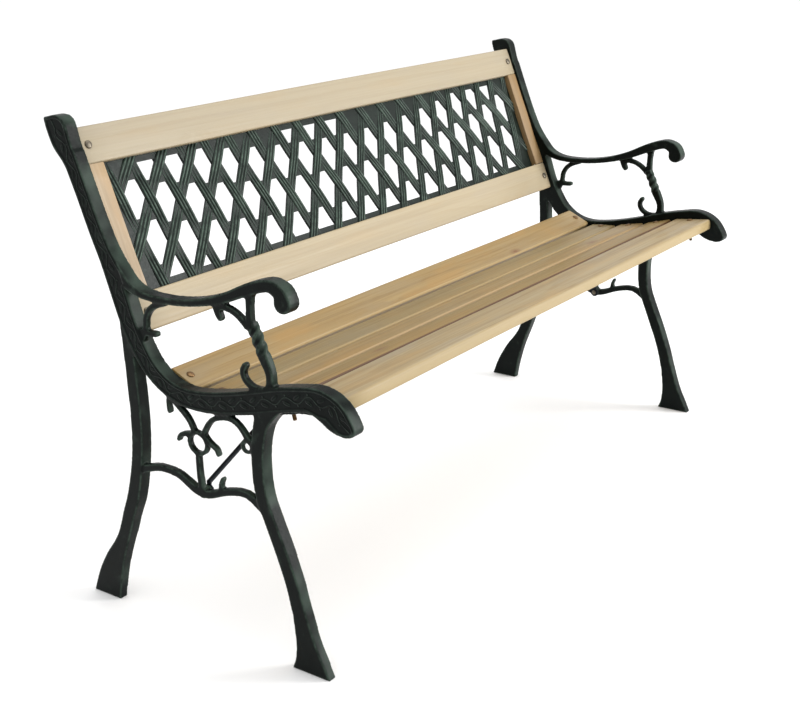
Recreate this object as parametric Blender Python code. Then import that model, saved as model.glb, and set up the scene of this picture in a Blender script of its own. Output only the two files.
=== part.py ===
"""Garden bench: two cast-iron end frames carrying five seat slats, and a timber back
that holds a cast lattice panel, with every bolt, nut, screw and brace as its own piece.

Metres, +Z up. X runs along the bench, -Y is the front, and the origin is on the floor under
the middle of the bench. Profiles are drawn side-on as (depth, height) in millimetres: depth
is measured backwards from the toe of the front foot, height from the floor."""
import math

import bmesh
import bpy
from mathutils import Matrix, Vector

MM = 0.001
LENGTH = 1.220            # over the outer faces of the two end frames
FRAME_THICKNESS = 0.022   # of the main members, along X
TOE_TO_ORIGIN = 0.206     # from the front toe back to the middle of the bench's depth
TOUCH_GAP = 0.0003        # left between pieces that touch

SLAT_THICKNESS = 0.020
SLAT_EDGE_ROUNDING = 0.005
# Middle of each slat's top as (depth, height), its width in mm, and its slope in degrees,
# positive where the back edge is the higher one. From the back of the seat to the front.
SLATS = [
    (258.0, 393.0, 53.0, 25.0),
    (199.0, 382.0, 54.0, -3.8),
    (136.5, 391.0, 54.0, -10.0),
    (75.0, 404.0, 54.0, -13.5),
    (3.0, 416.5, 74.0, -5.5),
]

BRACED_SLAT = SLATS[1]

BACK_LEAN = math.radians(21.3)     # of the back from vertical
BACK_FOOT = (323.0, 444.0)         # depth and height where heights up the back start
RAIL_WIDTH = 0.055
RAIL_THICKNESS = 0.020
RAIL_EDGE_ROUNDING = 0.003
BOTTOM_RAIL_START = 0.006          # distances up the sloping back
TOP_RAIL_START = 0.256
UPRIGHT_WIDTH = 0.030

PANEL_SETBACK = 0.0085             # behind the timber's front face
PANEL_THICKNESS = 0.007
PANEL_TONGUE = 0.007               # how far the panel's edge goes into the timber
PANEL_BORDER = 0.010               # plain edge above and below the openings
PANEL_SIDE_BORDER = 0.018
WEAVE_GAPS = 18                    # gaps between the bars of each of the two families
WEAVE_MIDDLE = 0.1515              # distance up the back where the bars' places are given
WEAVE_BAR_WIDTH = 0.0165
TOP_TIP_CUT = 0.014                # how much blunter openings are than diamonds
LOW_TIP_CUT = 0.008
CORNER_TIP_CUT = 0.004             # at the top of the small openings in the bottom row
TOP_ROW_OPEN = (6, 7, 8)           # gaps with an opening in the row under the top rail
SMALLEST_OPENING = 0.00012         # square metres; in the bottom corners smaller ones are filled

FLANGE_THICKNESS = 0.005
FLANGE_ROOT = 0.012                # depth of the seat flange inside the frame
FLANGE_REACH = 0.034               # and out past the frame's inner face
STRIP_END = 0.7                    # share of the outer slats' half width that strips reach to
LUG_THICKNESS = 0.004
LUG_REACH = 0.028
LUG_HEIGHT = 0.040
BOLT_INSET = 0.036                 # bolts' distance from the frame's outer face

BOLT_RADIUS = 0.003
HOLE_RADIUS = 0.0035
HEAD_RADIUS = 0.006
HEAD_HEIGHT = 0.003
NUT_RADIUS = 0.0058
NUT_HEIGHT = 0.005
BOLT_TAIL = 0.010                  # thread showing past the nut
ROUND_SIDES = 10
HOLE_SIDES = 8

SCREW_RADIUS = 0.0022
SCREW_DEPTH = 0.010                # past the brace's tab, into the slat or the frame's boss
SCREW_HEAD_RADIUS = 0.0045
SCREW_HEAD_HEIGHT = 0.0025

BRACE_RADIUS = 0.004
BRACE_TAB_RADIUS = 0.009
BRACE_TAB_THICKNESS = 0.003
BRACE_TAB_LENGTH = 0.014           # from the bolt or screw to where the round rod starts
BRACE_FOOT = (219.0, 231.0)        # depth and height of the boss at the stretcher's low point
BRACE_TOP_FROM_FRAME = 0.245       # where its top is screwed to the second slat
BOSS_DEPTH = 0.016                 # from the frame's outer face

# Members of the casting: name: (inner offset, outer offset from the frame's outer face in mm,
# [(depth, height, width), ...] along its middle line in mm). Rounded where they end.
MAIN = (0.0, 22.0)
LEG = (0.5, 21.5)
SCROLL = (2.0, 11.0)
STEM = (3.0, 15.0)
EYE = (2.0, 7.0)
STROKES = {
    "post_and_seat_rail": (MAIN, [
        (431, 699, 28), (410, 646, 26), (390, 595, 27), (372, 555, 29), (355, 510, 32), (340, 466, 31),
        (323, 432, 30), (301, 402, 28), (270, 381, 27), (232, 372, 29), (180, 376, 32), (119, 389, 34),
        (60, 405, 35), (9, 416, 33)]),
    "arm": (MAIN, [
        (381, 592, 12), (369, 566, 15), (349, 536, 18), (328, 519, 13.5), (298, 511, 10.5), (247, 511, 10),
        (197, 518, 11), (151, 531, 14), (108, 549, 17), (76, 559, 17), (61, 557, 19), (51, 550, 23),
        (48, 539, 28)]),
    "rear_leg": (LEG, [
        (349, 490, 18), (346, 444, 20), (343, 380, 21.5), (342.5, 310, 21.5), (349, 250, 21.5),
        (363.5, 192, 23.5), (380, 152, 23)]),
    "front_leg": (LEG, [
        (73, 405, 42), (87, 386, 36), (98, 362, 25), (106, 328, 22), (108, 288, 21.5),
        (104, 253, 21), (93, 223, 20.5), (73, 174, 21.5), (57.5, 130, 22.5), (48.5, 95, 25)]),
    "stretcher": ((2.0, 12.0), [
        (348, 237, 12), (332, 242, 12), (303, 250, 11), (270, 249, 11), (252, 242, 12), (234, 233, 13),
        (217, 230, 13), (200, 233, 12), (170, 244, 11), (134, 249, 11), (101, 232, 14)]),
    "stretcher_hook": (SCROLL, [(183, 240, 9), (182, 253, 6.5), (178, 262, 6)]),
    "bracket_curve": (SCROLL, [
        (264, 507, 10), (284, 500, 9.5), (297, 491, 9), (305, 478, 9), (307, 465, 9),
        (313, 450, 10), (325, 436, 12)]),
    "bracket_hook": (SCROLL, [(318, 457, 10), (300, 456.5, 9), (287, 457.5, 9)]),
    "arm_knob": (SCROLL, [(168, 524, 13), (165, 511, 12), (161, 502, 10)]),
    "arm_curve": (SCROLL, [(168, 518, 10), (150, 518, 9.5), (135, 514, 9), (122, 506, 9.5), (109, 494, 11)]),
    "arm_stay": (SCROLL, [(104, 551, 13), (107, 527, 11), (108, 500, 12)]),
    "stem": (STEM, [
        (108, 503, 12), (103, 488, 15), (94, 468, 16.5), (87, 454, 15), (81, 441, 13),
        (79, 428, 12.5), (81, 408, 16)]),
    "stem_curl": (SCROLL, [
        (79, 413, 12), (99, 411, 9), (113, 414, 9), (123, 422, 9), (126, 433, 9), (121, 442, 9)]),
    "rail_curve": (SCROLL, [(266, 366, 9), (252, 354, 8), (241, 345, 8), (233, 335, 7.5), (227, 322, 8)]),
    "rail_stub": (SCROLL, [(270, 374, 9), (274, 357, 7), (273, 345, 7)]),
    "left_hook": (SCROLL, [(231, 319, 8), (246, 316, 7.5), (255, 312, 7), (259, 305, 6.5)]),
    "right_hook": (SCROLL, [(210, 323, 8), (201, 314, 7.5), (193, 309, 7), (186, 305, 7), (183, 298, 6.5)]),
    "rail_arch": (SCROLL, [
        (211, 321, 8), (201, 337, 7.5), (191, 348, 7.5), (176, 355, 8), (158, 358, 8),
        (145, 354, 7.5), (135, 346, 7.5), (125, 334, 9), (113, 326, 10)]),
    "hub_bar": (SCROLL, [(223, 293, 8), (223, 264, 8.5), (221, 232, 11)]),
}
# Solid shapes of the casting that a stroke can't draw: runs of points round them, in mm. Each run
# is a smooth curve, and straight lines close the outline.
OUTLINES = {
    "post_head": (MAIN, [[
        (413, 688), (424, 718), (430, 741), (438, 750), (451, 753), (466, 750), (474, 745), (462, 710),
        (446, 691), (437, 678)]]),
    "rail_nose": (MAIN, [[
        (44, 423.5), (24, 429.5), (8, 432.5), (-4, 433), (-18, 430.5), (-32, 425), (-46, 415), (-57, 400),
        (-63, 387), (-60, 379), (-49, 375), (-34, 376), (-20, 381), (-8, 388.5), (6, 395), (24, 397),
        (44, 393)]]),
    "rear_foot": (LEG, [
        [(382, 176), (390.5, 156), (398, 136), (406.5, 117), (419, 98), (437, 75), (455.5, 45), (467, 20),
         (475, 0)],
        [(416, 0), (414, 13), (406.5, 44), (397.5, 75), (387, 102), (376.5, 128), (368.5, 150), (363, 168)]]),
    "front_foot": (LEG, [
        [(66.5, 125), (61, 104), (58.5, 81), (56.5, 61), (55.5, 40), (57.5, 18), (64, 0)],
        [(-2.5, 0), (1.5, 9), (8.5, 24), (15.5, 38), (22.5, 55), (29.5, 76), (36.5, 98), (46.5, 122)]]),
}
HUB_RING = (221.0, 307.0, 20.0, 19.0, 6.0)    # depth, height, half width, half height, thickness
LEG_EYE = (127.0, 323.0, 11.0, 5.5)           # depth, height, radius, hole radius
CURVE_STEPS = 3                               # facets between two points of a curve
TAPER_START = 0.200                           # below this height the legs get thinner along X
FOOT_SHARE = 0.72                             # to this share of their thickness on the floor


def clear_scene():
    for thing in list(bpy.data.objects):
        bpy.data.objects.remove(thing, do_unlink=True)


def material(name, colour, roughness, metallic):
    made = bpy.data.materials.new(name)
    made.use_nodes = True
    shader = made.node_tree.nodes["Principled BSDF"]
    shader.inputs["Base Color"].default_value = (*colour, 1.0)
    shader.inputs["Roughness"].default_value = roughness
    shader.inputs["Metallic"].default_value = metallic
    return made


def side_point(depth, height, x):
    """A point of a side-on drawing, in world metres."""
    return Vector((x, depth * MM - TOE_TO_ORIGIN, height * MM))


def smooth_line(points, steps):
    """Catmull-Rom curve through the points; any further values, such as width, run with it."""
    vectors = [Vector(point) for point in points]
    padded = [2 * vectors[0] - vectors[1], *vectors, 2 * vectors[-1] - vectors[-2]]
    line = []
    for before, start, end, after in zip(padded, padded[1:], padded[2:], padded[3:]):
        for step in range(steps):
            t = step / steps
            line.append(0.5 * (2 * start + (end - before) * t
                               + (2 * before - 5 * start + 4 * end - after) * t ** 2
                               + (3 * start - before - 3 * end + after) * t ** 3))
    return line + [vectors[-1]]


def stroke_outline(points):
    """Outline of a line of varying width with a rounded far end."""
    line = smooth_line(points, CURVE_STEPS)
    left, right = [], []
    for index, point in enumerate(line):
        behind, ahead = line[max(index - 1, 0)], line[min(index + 1, len(line) - 1)]
        along = Vector((ahead.x - behind.x, ahead.y - behind.y)).normalized()
        across = Vector((-along.y, along.x)) * point.z / 2
        left.append(Vector((point.x, point.y)) + across)
        right.append(Vector((point.x, point.y)) - across)
    tip, radius = Vector((line[-1].x, line[-1].y)), line[-1].z / 2
    outward, sideways = along * radius, Vector((-along.y, along.x)) * radius
    cap_steps = max(3, round(radius / 2))
    cap = []
    for step in range(1, cap_steps + 1):
        angle = math.pi / 2 - math.pi * step / (cap_steps + 1)
        cap.append(tip + outward * math.cos(angle) + sideways * math.sin(angle))
    return [tuple(point) for point in left + cap + right[::-1]]


def add_object(name, builder, finish):
    """Turns a bmesh into a named object with its faces pointing out."""
    bmesh.ops.recalc_face_normals(builder, faces=builder.faces)
    mesh = bpy.data.meshes.new(name)
    builder.to_mesh(mesh)
    builder.free()
    mesh.materials.append(finish)
    made = bpy.data.objects.new(name, mesh)
    bpy.context.scene.collection.objects.link(made)
    return made


def prism(name, outline, near_x, far_x, finish):
    """A side-on outline, in mm, made solid between two places along the bench."""
    side_on = frame_from(side_point(0, 0, 0), Vector((0, 1, 0)), Vector((0, 0, 1)), Vector((1, 0, 0)))
    points = [(point[0] * MM, point[1] * MM) for point in outline]
    return plate(name, points, near_x, far_x, side_on, finish)


def slab(name, corners_low, corners_high, frame, finish, rounding=0.0, segments=2):
    """A box given in a local frame, its edges along local X rounded."""
    builder = bmesh.new()
    size = Vector(corners_high) - Vector(corners_low)
    centre = (Vector(corners_high) + Vector(corners_low)) / 2
    bmesh.ops.create_cube(builder, size=1.0, matrix=Matrix.Translation(centre) @ Matrix.Diagonal((*size, 1)))
    if rounding:
        long_edges = [edge for edge in builder.edges
                      if abs((edge.verts[0].co - edge.verts[1].co).x) > size.x / 2]
        bmesh.ops.bevel(builder, geom=long_edges, offset=rounding, segments=segments, profile=0.5,
                        affect="EDGES")
    builder.transform(frame)
    return add_object(name, builder, finish)


def plate(name, outline, low, high, frame, finish):
    """An outline in a local frame's XY plane made solid between two heights along its Z axis."""
    builder = bmesh.new()
    face = builder.faces.new([builder.verts.new((point[0], point[1], low)) for point in outline])
    grown = bmesh.ops.extrude_face_region(builder, geom=[face])
    moved = [item for item in grown["geom"] if isinstance(item, bmesh.types.BMVert)]
    bmesh.ops.translate(builder, verts=moved, vec=(0, 0, high - low))
    builder.transform(frame)
    return add_object(name, builder, finish)


def turned(name, profile, frame, finish, sides=ROUND_SIDES):
    """A solid turned about its local Z axis from (radius, height) points, bottom to top."""
    builder = bmesh.new()
    rings = []
    for radius, height in profile:
        ring = []
        for step in range(sides if radius else 1):
            angle = 2 * math.pi * step / sides
            ring.append(builder.verts.new((radius * math.cos(angle), radius * math.sin(angle), height)))
        rings.append(ring)
    for low, high in zip(rings, rings[1:]):
        for step in range(sides):
            after = (step + 1) % sides
            corners = [low[step % len(low)], low[after % len(low)],
                       high[after % len(high)], high[step % len(high)]]
            builder.faces.new(list(dict.fromkeys(corners)))
    for ring in (rings[0], rings[-1]):
        if len(ring) > 1:
            builder.faces.new(ring)
    builder.transform(frame)
    made = add_object(name, builder, finish)
    made.data.shade_smooth()
    made.data.set_sharp_from_angle(angle=math.radians(40))
    return made


def drum(name, radius, low, high, frame, finish, sides=ROUND_SIDES):
    return turned(name, [(radius, low), (radius, high)], frame, finish, sides)


def combine(base, others, operation):
    """Unites the other solids with the base, or cuts them out of it, and removes them."""
    group = bpy.data.collections.new("operands")
    for other in others:
        group.objects.link(other)
    step = base.modifiers.new(operation, "BOOLEAN")
    step.operation = operation
    step.solver = "EXACT"
    step.operand_type = "COLLECTION"
    step.collection = group
    bpy.context.view_layer.update()
    result = bpy.data.meshes.new_from_object(base.evaluated_get(bpy.context.evaluated_depsgraph_get()))
    base.modifiers.clear()
    base.data = result
    for other in others:
        bpy.data.objects.remove(other, do_unlink=True)
    bpy.data.collections.remove(group)
    return base


def frame_from(origin, x_axis, y_axis, z_axis):
    """Matrix of a local frame from its origin and axes."""
    return Matrix.Translation(origin) @ Matrix((x_axis, y_axis, z_axis)).transposed().to_4x4()


def slat_frame(slat):
    """Local X along the bench, Y towards the back across the slat, Z out of its top."""
    depth, height, _, slope = slat
    turn = math.radians(slope)
    return frame_from(side_point(depth, height, 0), Vector((1, 0, 0)),
                      Vector((0, math.cos(turn), math.sin(turn))),
                      Vector((0, -math.sin(turn), math.cos(turn))))


def back_frame():
    """Local X along the bench, Y up the sloping back, Z out of the timber's front face."""
    return frame_from(side_point(*BACK_FOOT, 0), Vector((1, 0, 0)),
                      Vector((0, math.sin(BACK_LEAN), math.cos(BACK_LEAN))),
                      Vector((0, -math.cos(BACK_LEAN), math.sin(BACK_LEAN))))


def at_x(frame, x):
    """The same local frame moved along the bench."""
    return Matrix.Translation((x, 0, 0)) @ frame


def under_seat_line(drop):
    """Line along the slats' undersides, from back to front, a distance in mm below their tops."""
    line = []
    for slat in SLATS:
        depth, height, width, slope = slat
        turn = math.radians(slope)
        middle = Vector((depth + drop * math.sin(turn), height - drop * math.cos(turn)))
        half = Vector((math.cos(turn), math.sin(turn))) * width / 2
        line.append(middle + half * (STRIP_END if slat is SLATS[0] else 1))
        line.append(middle - half * (STRIP_END if slat is SLATS[-1] else 1))
    return line


def under_seat_strip(thickness):
    """Outline of a bent strip that touches every slat's underside, in mm."""
    top = (SLAT_THICKNESS + TOUCH_GAP) / MM
    outline = under_seat_line(top) + under_seat_line(top + thickness / MM)[::-1]
    return [tuple(point) for point in outline]


def bolt_profile(grip):
    """Dome head on top of local Z = 0, shank down through the grip, the nut and a little more."""
    end = grip + NUT_HEIGHT + 2 * TOUCH_GAP + BOLT_TAIL
    return [(BOLT_RADIUS, -end), (BOLT_RADIUS, TOUCH_GAP), (HEAD_RADIUS, TOUCH_GAP),
            (HEAD_RADIUS * 0.78, HEAD_HEIGHT * 0.65), (HEAD_RADIUS * 0.4, HEAD_HEIGHT)]


def add_bolt(bolt_name, nut_name, frame, grip, steel):
    turned(bolt_name, bolt_profile(grip), frame, steel)
    top = -grip - 2 * TOUCH_GAP
    nut = drum(nut_name, NUT_RADIUS, top - NUT_HEIGHT, top, frame, steel, sides=6)
    bore = drum("hole", HOLE_RADIUS, top - 2 * NUT_HEIGHT, top + NUT_HEIGHT, frame, steel, HOLE_SIDES)
    combine(nut, [bore], "DIFFERENCE")


def screw_hole(frame, finish):
    """Blind hole for a screw driven along local Z into the surface at Z = 0."""
    return drum("hole", SCREW_RADIUS + TOUCH_GAP, -SCREW_DEPTH, SCREW_DEPTH + TOUCH_GAP, frame, finish,
                HOLE_SIDES)


def add_screw(name, frame, steel):
    """Screw driven along local Z into the surface at Z = 0, through a brace's tab."""
    face = -BRACE_TAB_THICKNESS - 2 * TOUCH_GAP
    turned(name, [(SCREW_HEAD_RADIUS * 0.6, face - SCREW_HEAD_HEIGHT), (SCREW_HEAD_RADIUS, face - 0.001),
                  (SCREW_HEAD_RADIUS, face), (SCREW_RADIUS, face), (SCREW_RADIUS, SCREW_DEPTH)],
           frame, steel, HOLE_SIDES)


def hole(frame, length, radius=HOLE_RADIUS):
    """A cutter through everything near the frame's origin, along its Z axis."""
    return drum("hole", radius, -length, length, frame, None, HOLE_SIDES)


def ring_prism(centre, radii, hole_radii, near_x, far_x, finish, sides=16):
    """A ring drawn side-on, as an outer and an inner ellipse."""
    builder = bmesh.new()
    loops = []
    for half_sizes, x in ((radii, near_x), (radii, far_x), (hole_radii, far_x), (hole_radii, near_x)):
        loop = []
        for step in range(sides):
            angle = 2 * math.pi * step / sides
            spot = side_point(centre[0] + half_sizes[0] * math.cos(angle),
                              centre[1] + half_sizes[1] * math.sin(angle), x)
            loop.append(builder.verts.new(spot))
        loops.append(loop)
    for loop, following in zip(loops, loops[1:] + loops[:1]):
        for step in range(sides):
            after = (step + 1) % sides
            builder.faces.new((loop[step], loop[after], following[after], following[step]))
    return add_object("ring", builder, finish)


def seat_bolt_frame(slat, side):
    return at_x(slat_frame(slat), side * (LENGTH / 2 - BOLT_INSET))


def rail_bolt_frame(start, side):
    up_the_back = start + RAIL_WIDTH / 2
    return at_x(back_frame() @ Matrix.Translation((0, up_the_back, 0)), side * (LENGTH / 2 - BOLT_INSET))


def brace_foot_frame(side):
    """On the inner face of the frame's boss, local Y up and Z into the boss."""
    spot = side_point(*BRACE_FOOT, side * (LENGTH / 2 - BOSS_DEPTH))
    return frame_from(spot, Vector((0, side, 0)), Vector((0, 0, 1)), Vector((side, 0, 0)))


def brace_top_frame(side):
    """On the second slat's underside, local Z up into the slat."""
    under = slat_frame(BRACED_SLAT) @ Matrix.Translation((0, 0, -SLAT_THICKNESS))
    return at_x(under, side * (LENGTH / 2 - BRACE_TOP_FROM_FRAME))


def end_frame(name, side, iron):
    """One casting: post, arm, seat rail, legs, stretcher and scrollwork, with its lugs."""
    def across(offset):
        return side * (LENGTH / 2 - offset * MM)
    pieces = []
    for label, ((near, far), points) in STROKES.items():
        pieces.append(prism(label, stroke_outline(points), across(near), across(far), iron))
    for label, ((near, far), runs) in OUTLINES.items():
        outline = [point for run in runs for point in smooth_line(run, CURVE_STEPS)]
        pieces.append(prism(label, outline, across(near), across(far), iron))
    depth, height, half_width, half_height, thickness = HUB_RING
    pieces.append(ring_prism((depth, height), (half_width, half_height),
                             (half_width - thickness, half_height - thickness),
                             across(SCROLL[0]), across(SCROLL[1]), iron))
    depth, height, radius, eye = LEG_EYE
    pieces.append(ring_prism((depth, height), (radius, radius), (eye, eye), across(EYE[0]), across(EYE[1]),
                             iron))
    inner = FRAME_THICKNESS / MM
    pieces.append(prism("seat_flange", under_seat_strip(FLANGE_THICKNESS), across(inner - FLANGE_ROOT / MM),
                        across(inner + FLANGE_REACH / MM), iron))
    boss = brace_foot_frame(side)
    pieces.append(drum("boss", BRACE_TAB_RADIUS, 0, BOSS_DEPTH - SCROLL[0] * MM, boss, iron))
    behind = -RAIL_THICKNESS - TOUCH_GAP
    for start in (BOTTOM_RAIL_START, TOP_RAIL_START):
        middle = rail_bolt_frame(start, side)
        ends = sorted((-side * (LUG_REACH / 2), side * (LUG_REACH / 2 + FLANGE_ROOT)))
        pieces.append(slab("lug", (ends[0], -LUG_HEIGHT / 2, behind - LUG_THICKNESS),
                           (ends[1], LUG_HEIGHT / 2, behind), middle, iron))
    casting = pieces.pop(0)
    casting.name = name
    combine(casting, pieces, "UNION")
    taper_feet(casting, side)
    holes = [hole(seat_bolt_frame(slat, side), 0.05) for slat in SLATS]
    holes += [hole(rail_bolt_frame(start, side), 0.05) for start in (BOTTOM_RAIL_START, TOP_RAIL_START)]
    holes.append(screw_hole(boss, iron))
    return combine(casting, holes, "DIFFERENCE")


def taper_feet(casting, side):
    """Thins the legs evenly towards the floor, keeping their outer faces in place."""
    for vertex in casting.data.vertices:
        if vertex.co.z < TAPER_START:
            share = FOOT_SHARE + (1 - FOOT_SHARE) * vertex.co.z / TAPER_START
            vertex.co.x = side * (LENGTH / 2 - (LENGTH / 2 - side * vertex.co.x) * share)


def seat_slat(number, slat, pine):
    half_length = LENGTH / 2 - FRAME_THICKNESS - TOUCH_GAP
    half_width = slat[2] * MM / 2
    frame = slat_frame(slat)
    made = slab(f"seat_slat_{number}", (-half_length, -half_width, -SLAT_THICKNESS),
                (half_length, half_width, 0), frame, pine, SLAT_EDGE_ROUNDING)
    cutters = [hole(seat_bolt_frame(slat, side), 0.04) for side in (-1, 1)]
    if slat is BRACED_SLAT:
        cutters += [screw_hole(brace_top_frame(side), pine) for side in (-1, 1)]
    return combine(made, cutters, "DIFFERENCE")


def panel_grooves(finish):
    """Cutter the size of the panel's edge, for the grooves in the timber around it."""
    reach = PANEL_TONGUE + TOUCH_GAP
    half = LENGTH / 2 - FRAME_THICKNESS - UPRIGHT_WIDTH + reach
    low = BOTTOM_RAIL_START + RAIL_WIDTH - reach
    high = TOP_RAIL_START + reach
    front = -PANEL_SETBACK + TOUCH_GAP
    return slab("groove", (-half, low, front - PANEL_THICKNESS - 2 * TOUCH_GAP), (half, high, front),
                back_frame(), finish)


def back_rail(name, start, pine):
    half_length = LENGTH / 2 - FRAME_THICKNESS - TOUCH_GAP
    rail = slab(name, (-half_length, start, -RAIL_THICKNESS), (half_length, start + RAIL_WIDTH, 0),
                back_frame(), pine, RAIL_EDGE_ROUNDING)
    holes = [hole(rail_bolt_frame(start, side), 0.04) for side in (-1, 1)]
    return combine(rail, [*holes, panel_grooves(pine)], "DIFFERENCE")


def panel_upright(name, side, pine):
    outer = side * (LENGTH / 2 - FRAME_THICKNESS - TOUCH_GAP)
    ends = sorted((outer, outer - side * UPRIGHT_WIDTH))
    low = BOTTOM_RAIL_START + RAIL_WIDTH + TOUCH_GAP
    upright = slab(name, (ends[0], low, -RAIL_THICKNESS), (ends[1], TOP_RAIL_START - TOUCH_GAP, 0),
                   back_frame(), pine)
    return combine(upright, [panel_grooves(pine)], "DIFFERENCE")


def weave_line(number):
    """Place and lean of one mid-line between two bars that rise to the right, in the back's frame.
    The bars fan out: those at the left lean most and stand furthest apart."""
    along = (number - 9.5) / 8.5
    place = 0.0092 + 0.529 * along - 0.0333 * along ** 2
    lean = 0.517 - 0.321 * along
    return place, lean


def clip(outline, point, inward):
    """The part of a convex outline on the inward side of the line through a point."""
    kept = []
    for start, end in zip(outline, outline[1:] + outline[:1]):
        start_depth, end_depth = (start - point).dot(inward), (end - point).dot(inward)
        if start_depth >= 0:
            kept.append(start)
        if start_depth * end_depth < 0:
            kept.append(start.lerp(end, start_depth / (start_depth - end_depth)))
    return kept


def bar_edges(number, mirror):
    """Clipping lines for the opening between two neighbouring bars of one family."""
    edges = []
    for half, facing in ((-0.5, 1), (0.5, -1)):
        place, lean = weave_line(number + half)
        inward = Vector((1, -lean)).normalized() * facing
        middle = Vector((place, WEAVE_MIDDLE)) + inward * WEAVE_BAR_WIDTH / 2
        edges.append((Vector((mirror * middle.x, middle.y)), Vector((mirror * inward.x, inward.y))))
    return edges


def area(outline):
    return abs(sum(a.cross(b) for a, b in zip(outline, outline[1:] + outline[:1]))) / 2


def blunted(outline, top_cut):
    """A diamond without its sharp top and bottom tips."""
    heights = [point.y for point in outline]
    outline = clip(outline, Vector((0, max(heights) - top_cut)), Vector((0, -1)))
    return clip(outline, Vector((0, min(heights) + LOW_TIP_CUT)), Vector((0, 1)))


def panel_openings():
    """Outlines of the lattice's openings, in the back's frame."""
    half = LENGTH / 2 - FRAME_THICKNESS - UPRIGHT_WIDTH - PANEL_SIDE_BORDER
    low = BOTTOM_RAIL_START + RAIL_WIDTH + PANEL_BORDER
    high = TOP_RAIL_START - PANEL_BORDER
    everywhere = [Vector(corner) for corner in ((-1, -1), (1, -1), (1, 1), (-1, 1))]
    openings = []
    for gap in range(1, WEAVE_GAPS + 1):
        for row in (-2, -1, 0, 1, 2):
            crossed = gap - row
            if crossed not in range(1, WEAVE_GAPS + 1) or (row == -2 and gap not in TOP_ROW_OPEN):
                continue
            outline = everywhere
            for point, inward in bar_edges(gap, 1) + bar_edges(WEAVE_GAPS + 1 - crossed, -1):
                outline = clip(outline, point, inward)
            outline = blunted(outline, CORNER_TIP_CUT if row == 2 else TOP_TIP_CUT)
            for point, inward in (((half, high), (-1, 0)), ((half, high), (0, -1)),
                                  ((-half, low), (1, 0)), ((-half, low), (0, 1))):
                outline = clip(outline, Vector(point), Vector(inward))
            if len(outline) > 2 and area(outline) > SMALLEST_OPENING:
                openings.append(outline)
    return openings


def lattice_panel(iron):
    """Flat casting pierced by the diamond openings between two families of leaning bars."""
    half = LENGTH / 2 - FRAME_THICKNESS - UPRIGHT_WIDTH + PANEL_TONGUE
    front, back = -PANEL_SETBACK, -PANEL_SETBACK - PANEL_THICKNESS
    panel = slab("lattice_panel", (-half, BOTTOM_RAIL_START + RAIL_WIDTH - PANEL_TONGUE, back),
                 (half, TOP_RAIL_START + PANEL_TONGUE, front), back_frame(), iron)
    cutters = [plate("opening", outline, back - PANEL_THICKNESS, front + PANEL_THICKNESS, back_frame(), iron)
               for outline in panel_openings()]
    return combine(panel, cutters, "DIFFERENCE")


def tab_outline(direction):
    """Outline of a brace's flat end: round about its hole, then as wide as the rod."""
    along = Vector(direction)
    across = Vector((-along.y, along.x))
    start = math.asin(BRACE_RADIUS / BRACE_TAB_RADIUS)
    outline = []
    for step in range(ROUND_SIDES):
        angle = start + (2 * math.pi - 2 * start) * step / (ROUND_SIDES - 1)
        outline.append((along * math.cos(angle) + across * math.sin(angle)) * BRACE_TAB_RADIUS)
    tip = along * BRACE_TAB_LENGTH
    return outline + [tip - across * BRACE_RADIUS, tip + across * BRACE_RADIUS]


def brace_rod(name, side, steel):
    """Round rod with a flat tab at each end, from the stretcher up to the braced slat."""
    foot_frame, top_frame = brace_foot_frame(side), brace_top_frame(side)
    low, high = -TOUCH_GAP - BRACE_TAB_THICKNESS, TOUCH_GAP
    brace = plate(name, tab_outline((0, 1)), low, high, foot_frame, steel)
    top_tab = plate("tab", tab_outline((side, 0)), low, high, top_frame, steel)
    rod_start = BRACE_TAB_LENGTH - BRACE_RADIUS / 2
    start = foot_frame @ Vector((0, rod_start, -BRACE_RADIUS * 0.6))
    end = top_frame @ Vector((side * rod_start, 0, -BRACE_RADIUS * 0.6))
    run = end - start
    inward = run.normalized()
    sideways = inward.cross(Vector((0, 1, 0))).normalized()
    rod = frame_from(start, sideways, inward.cross(sideways), inward)
    shaft = drum("shaft", BRACE_RADIUS, 0, run.length, rod, steel, HOLE_SIDES)
    combine(brace, [top_tab, shaft], "UNION")
    cutters = []
    for frame in (foot_frame, top_frame):
        cutters.append(hole(frame, 0.01, SCREW_RADIUS + TOUCH_GAP))
        cutters.append(slab("surface", (-0.03, -0.03, -TOUCH_GAP), (0.03, 0.03, 0.02), frame, steel))
    return combine(brace, cutters, "DIFFERENCE")


def build():
    clear_scene()
    iron = material("green_black_cast_iron", (0.030, 0.050, 0.040), 0.45, 0.6)
    pine = material("varnished_pine", (0.72, 0.56, 0.34), 0.45, 0.0)
    steel = material("zinc_plated_steel", (0.45, 0.42, 0.36), 0.35, 1.0)
    for label, side in (("left", -1), ("right", 1)):
        end_frame(f"{label}_end_frame", side, iron)
        panel_upright(f"{label}_panel_upright", side, pine)
        brace_rod(f"{label}_brace_rod", side, steel)
        add_screw(f"brace_foot_screw_{label}", brace_foot_frame(side), steel)
        add_screw(f"brace_top_screw_{label}", brace_top_frame(side), steel)
        for number, slat in enumerate(SLATS, 1):
            add_bolt(f"seat_bolt_{label}_{number}", f"seat_nut_{label}_{number}", seat_bolt_frame(slat, side),
                     SLAT_THICKNESS + TOUCH_GAP + FLANGE_THICKNESS, steel)
        for rail, start in (("bottom", BOTTOM_RAIL_START), ("top", TOP_RAIL_START)):
            add_bolt(f"{rail}_rail_bolt_{label}", f"{rail}_rail_nut_{label}", rail_bolt_frame(start, side),
                     RAIL_THICKNESS + TOUCH_GAP + LUG_THICKNESS, steel)
    for number, slat in enumerate(SLATS, 1):
        seat_slat(number, slat, pine)
    back_rail("bottom_back_rail", BOTTOM_RAIL_START, pine)
    back_rail("top_back_rail", TOP_RAIL_START, pine)
    lattice_panel(iron)


build()
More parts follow.
